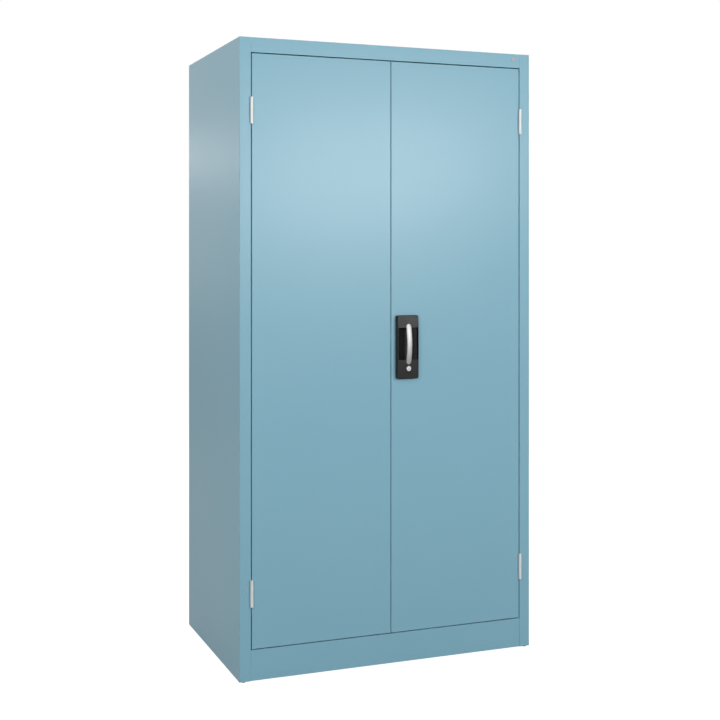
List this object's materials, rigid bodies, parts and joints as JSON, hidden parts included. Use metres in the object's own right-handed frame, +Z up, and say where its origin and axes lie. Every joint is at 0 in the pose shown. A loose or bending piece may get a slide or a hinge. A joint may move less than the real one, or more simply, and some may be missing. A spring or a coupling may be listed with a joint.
{
  "type": "drawer cabinet",
  "caption": "Tall two-door steel cabinet with a swing handle, shelves behind the left door and drawers with shelves above behind the right door.",
  "frame": {"origin": "middle of the whole outline, handle included, on the floor under the glides", "axes": "+X to the right seen from the front, +Y to the back, +Z up; the doors face -Y"},
  "size_m": [1, 0.627, 1.953],
  "materials": {
    "cabinet_blue": "powder-coated, satin",
    "drawer_grey": "powder-coated, satin",
    "galvanised": "galvanised",
    "hinge_steel": "satin",
    "housing_black": "fine grain",
    "bow_metal": "satin",
    "lock_chrome": "polished",
    "buffer_rubber": "matte",
    "glide_plastic": "matte",
    "grip_aluminium": "anodised",
    "badge_grey": "satin"
  },
  "bodies": {
    "cabinet": {"right_side_panel": "cabinet_blue", "left_side_panel": "cabinet_blue", "top_panel": "cabinet_blue", "floor_panel": "cabinet_blue", "plinth_panel": "cabinet_blue", "back_panel": "cabinet_blue", "corner_glides": "glide_plastic", "centre_partition": "cabinet_blue", "slotted_uprights": "galvanised", "left_shelf_1": "galvanised", "left_shelf_2": "galvanised", "left_shelf_3": "galvanised", "right_shelf_1": "galvanised", "right_shelf_2": "galvanised", "shelf_clips": "galvanised", "drawer_cheek": "cabinet_blue", "rod_keepers": "galvanised", "door_buffers": "buffer_rubber", "magnet_catches": "galvanised", "blank_badge": "badge_grey", "frame_knuckles": "hinge_steel", "hinge_pins": "hinge_steel", "drawer_outer_rails": "galvanised"},
    "left_door": {"left_door_panel": "cabinet_blue", "left_door_stiffener": "cabinet_blue", "left_door_knuckles": "hinge_steel"},
    "right_door": {"right_door_panel": "cabinet_blue", "right_door_stiffener": "cabinet_blue", "right_door_knuckles": "hinge_steel", "handle_housing": "housing_black", "latch_case": "galvanised", "rod_guides": "galvanised", "lock_cylinder": "lock_chrome"},
    "handle": {"handle_bow": "bow_metal", "latch_pinion": "galvanised"},
    "lock": {"lock_plug": "lock_chrome", "lock_cam": "galvanised"},
    "upper_latch_rod": {"upper_rod": "galvanised"},
    "lower_latch_rod": {"lower_rod": "galvanised"},
    "drawer_1": {"drawer_1_box": "drawer_grey", "drawer_1_front": "cabinet_blue", "drawer_1_handle": "grip_aluminium", "drawer_1_inner_rails": "galvanised"},
    "slide_1": {"drawer_1_mid_rails": "galvanised"},
    "drawer_2": {"drawer_2_box": "drawer_grey", "drawer_2_front": "cabinet_blue", "drawer_2_handle": "grip_aluminium", "drawer_2_inner_rails": "galvanised"},
    "slide_2": {"drawer_2_mid_rails": "galvanised"},
    "drawer_3": {"drawer_3_box": "drawer_grey", "drawer_3_front": "cabinet_blue", "drawer_3_handle": "grip_aluminium", "drawer_3_inner_rails": "galvanised"},
    "slide_3": {"drawer_3_mid_rails": "galvanised"},
    "drawer_4": {"drawer_4_box": "drawer_grey", "drawer_4_front": "cabinet_blue", "drawer_4_handle": "grip_aluminium", "drawer_4_inner_rails": "galvanised"},
    "slide_4": {"drawer_4_mid_rails": "galvanised"}
  },
  "joints": [
    {"name": "left_door_swing", "type": "hinge", "parent": "cabinet", "child": "left_door", "pos_m": [-0.4625, -0.2913, 1], "axis": [0, 0, -1], "range_deg": [0, 180]},
    {"name": "right_door_swing", "type": "hinge", "parent": "cabinet", "child": "right_door", "pos_m": [0.4625, -0.2913, 1], "axis": [0, 0, 1], "range_deg": [0, 180]},
    {"name": "handle_turn", "type": "hinge", "parent": "right_door", "child": "handle", "pos_m": [0.054, -0.2865, 1.06625], "axis": [0, -1, 0], "range_deg": [0, 90]},
    {"name": "lock_turn", "type": "hinge", "parent": "right_door", "child": "lock", "pos_m": [0.054, -0.2865, 0.9335], "axis": [0, -1, 0], "range_deg": [0, 90]},
    {"name": "upper_rod_slide", "type": "slide", "parent": "right_door", "child": "upper_latch_rod", "axis": [0, 0, -1], "range_m": [0, 0.0177]},
    {"name": "lower_rod_slide", "type": "slide", "parent": "right_door", "child": "lower_latch_rod", "axis": [0, 0, 1], "range_m": [0, 0.0177]},
    {"name": "drawer_1_slide", "type": "slide", "parent": "cabinet", "child": "drawer_1", "axis": [0, -1, 0], "range_m": [0, 0.38]},
    {"name": "middle_rails_1_slide", "type": "slide", "parent": "cabinet", "child": "slide_1", "axis": [0, -1, 0], "range_m": [0, 0.19]},
    {"name": "drawer_2_slide", "type": "slide", "parent": "cabinet", "child": "drawer_2", "axis": [0, -1, 0], "range_m": [0, 0.38]},
    {"name": "middle_rails_2_slide", "type": "slide", "parent": "cabinet", "child": "slide_2", "axis": [0, -1, 0], "range_m": [0, 0.19]},
    {"name": "drawer_3_slide", "type": "slide", "parent": "cabinet", "child": "drawer_3", "axis": [0, -1, 0], "range_m": [0, 0.38]},
    {"name": "middle_rails_3_slide", "type": "slide", "parent": "cabinet", "child": "slide_3", "axis": [0, -1, 0], "range_m": [0, 0.19]},
    {"name": "drawer_4_slide", "type": "slide", "parent": "cabinet", "child": "drawer_4", "axis": [0, -1, 0], "range_m": [0, 0.38]},
    {"name": "middle_rails_4_slide", "type": "slide", "parent": "cabinet", "child": "slide_4", "axis": [0, -1, 0], "range_m": [0, 0.19]}
  ],
  "couplings": [
    {"joint": "upper_rod_slide", "follows": "handle_turn", "m_per_rad": 0.01125},
    {"joint": "lower_rod_slide", "follows": "handle_turn", "m_per_rad": 0.01125},
    {"joint": "drawer_1_slide", "follows": "right_door_swing", "m_per_rad": 0.12},
    {"joint": "middle_rails_1_slide", "follows": "right_door_swing", "m_per_rad": 0.06},
    {"joint": "drawer_2_slide", "follows": "right_door_swing", "m_per_rad": 0.12},
    {"joint": "middle_rails_2_slide", "follows": "right_door_swing", "m_per_rad": 0.06},
    {"joint": "drawer_3_slide", "follows": "right_door_swing", "m_per_rad": 0.12},
    {"joint": "middle_rails_3_slide", "follows": "right_door_swing", "m_per_rad": 0.06},
    {"joint": "drawer_4_slide", "follows": "right_door_swing", "m_per_rad": 0.12},
    {"joint": "middle_rails_4_slide", "follows": "right_door_swing", "m_per_rad": 0.06}
  ]
}
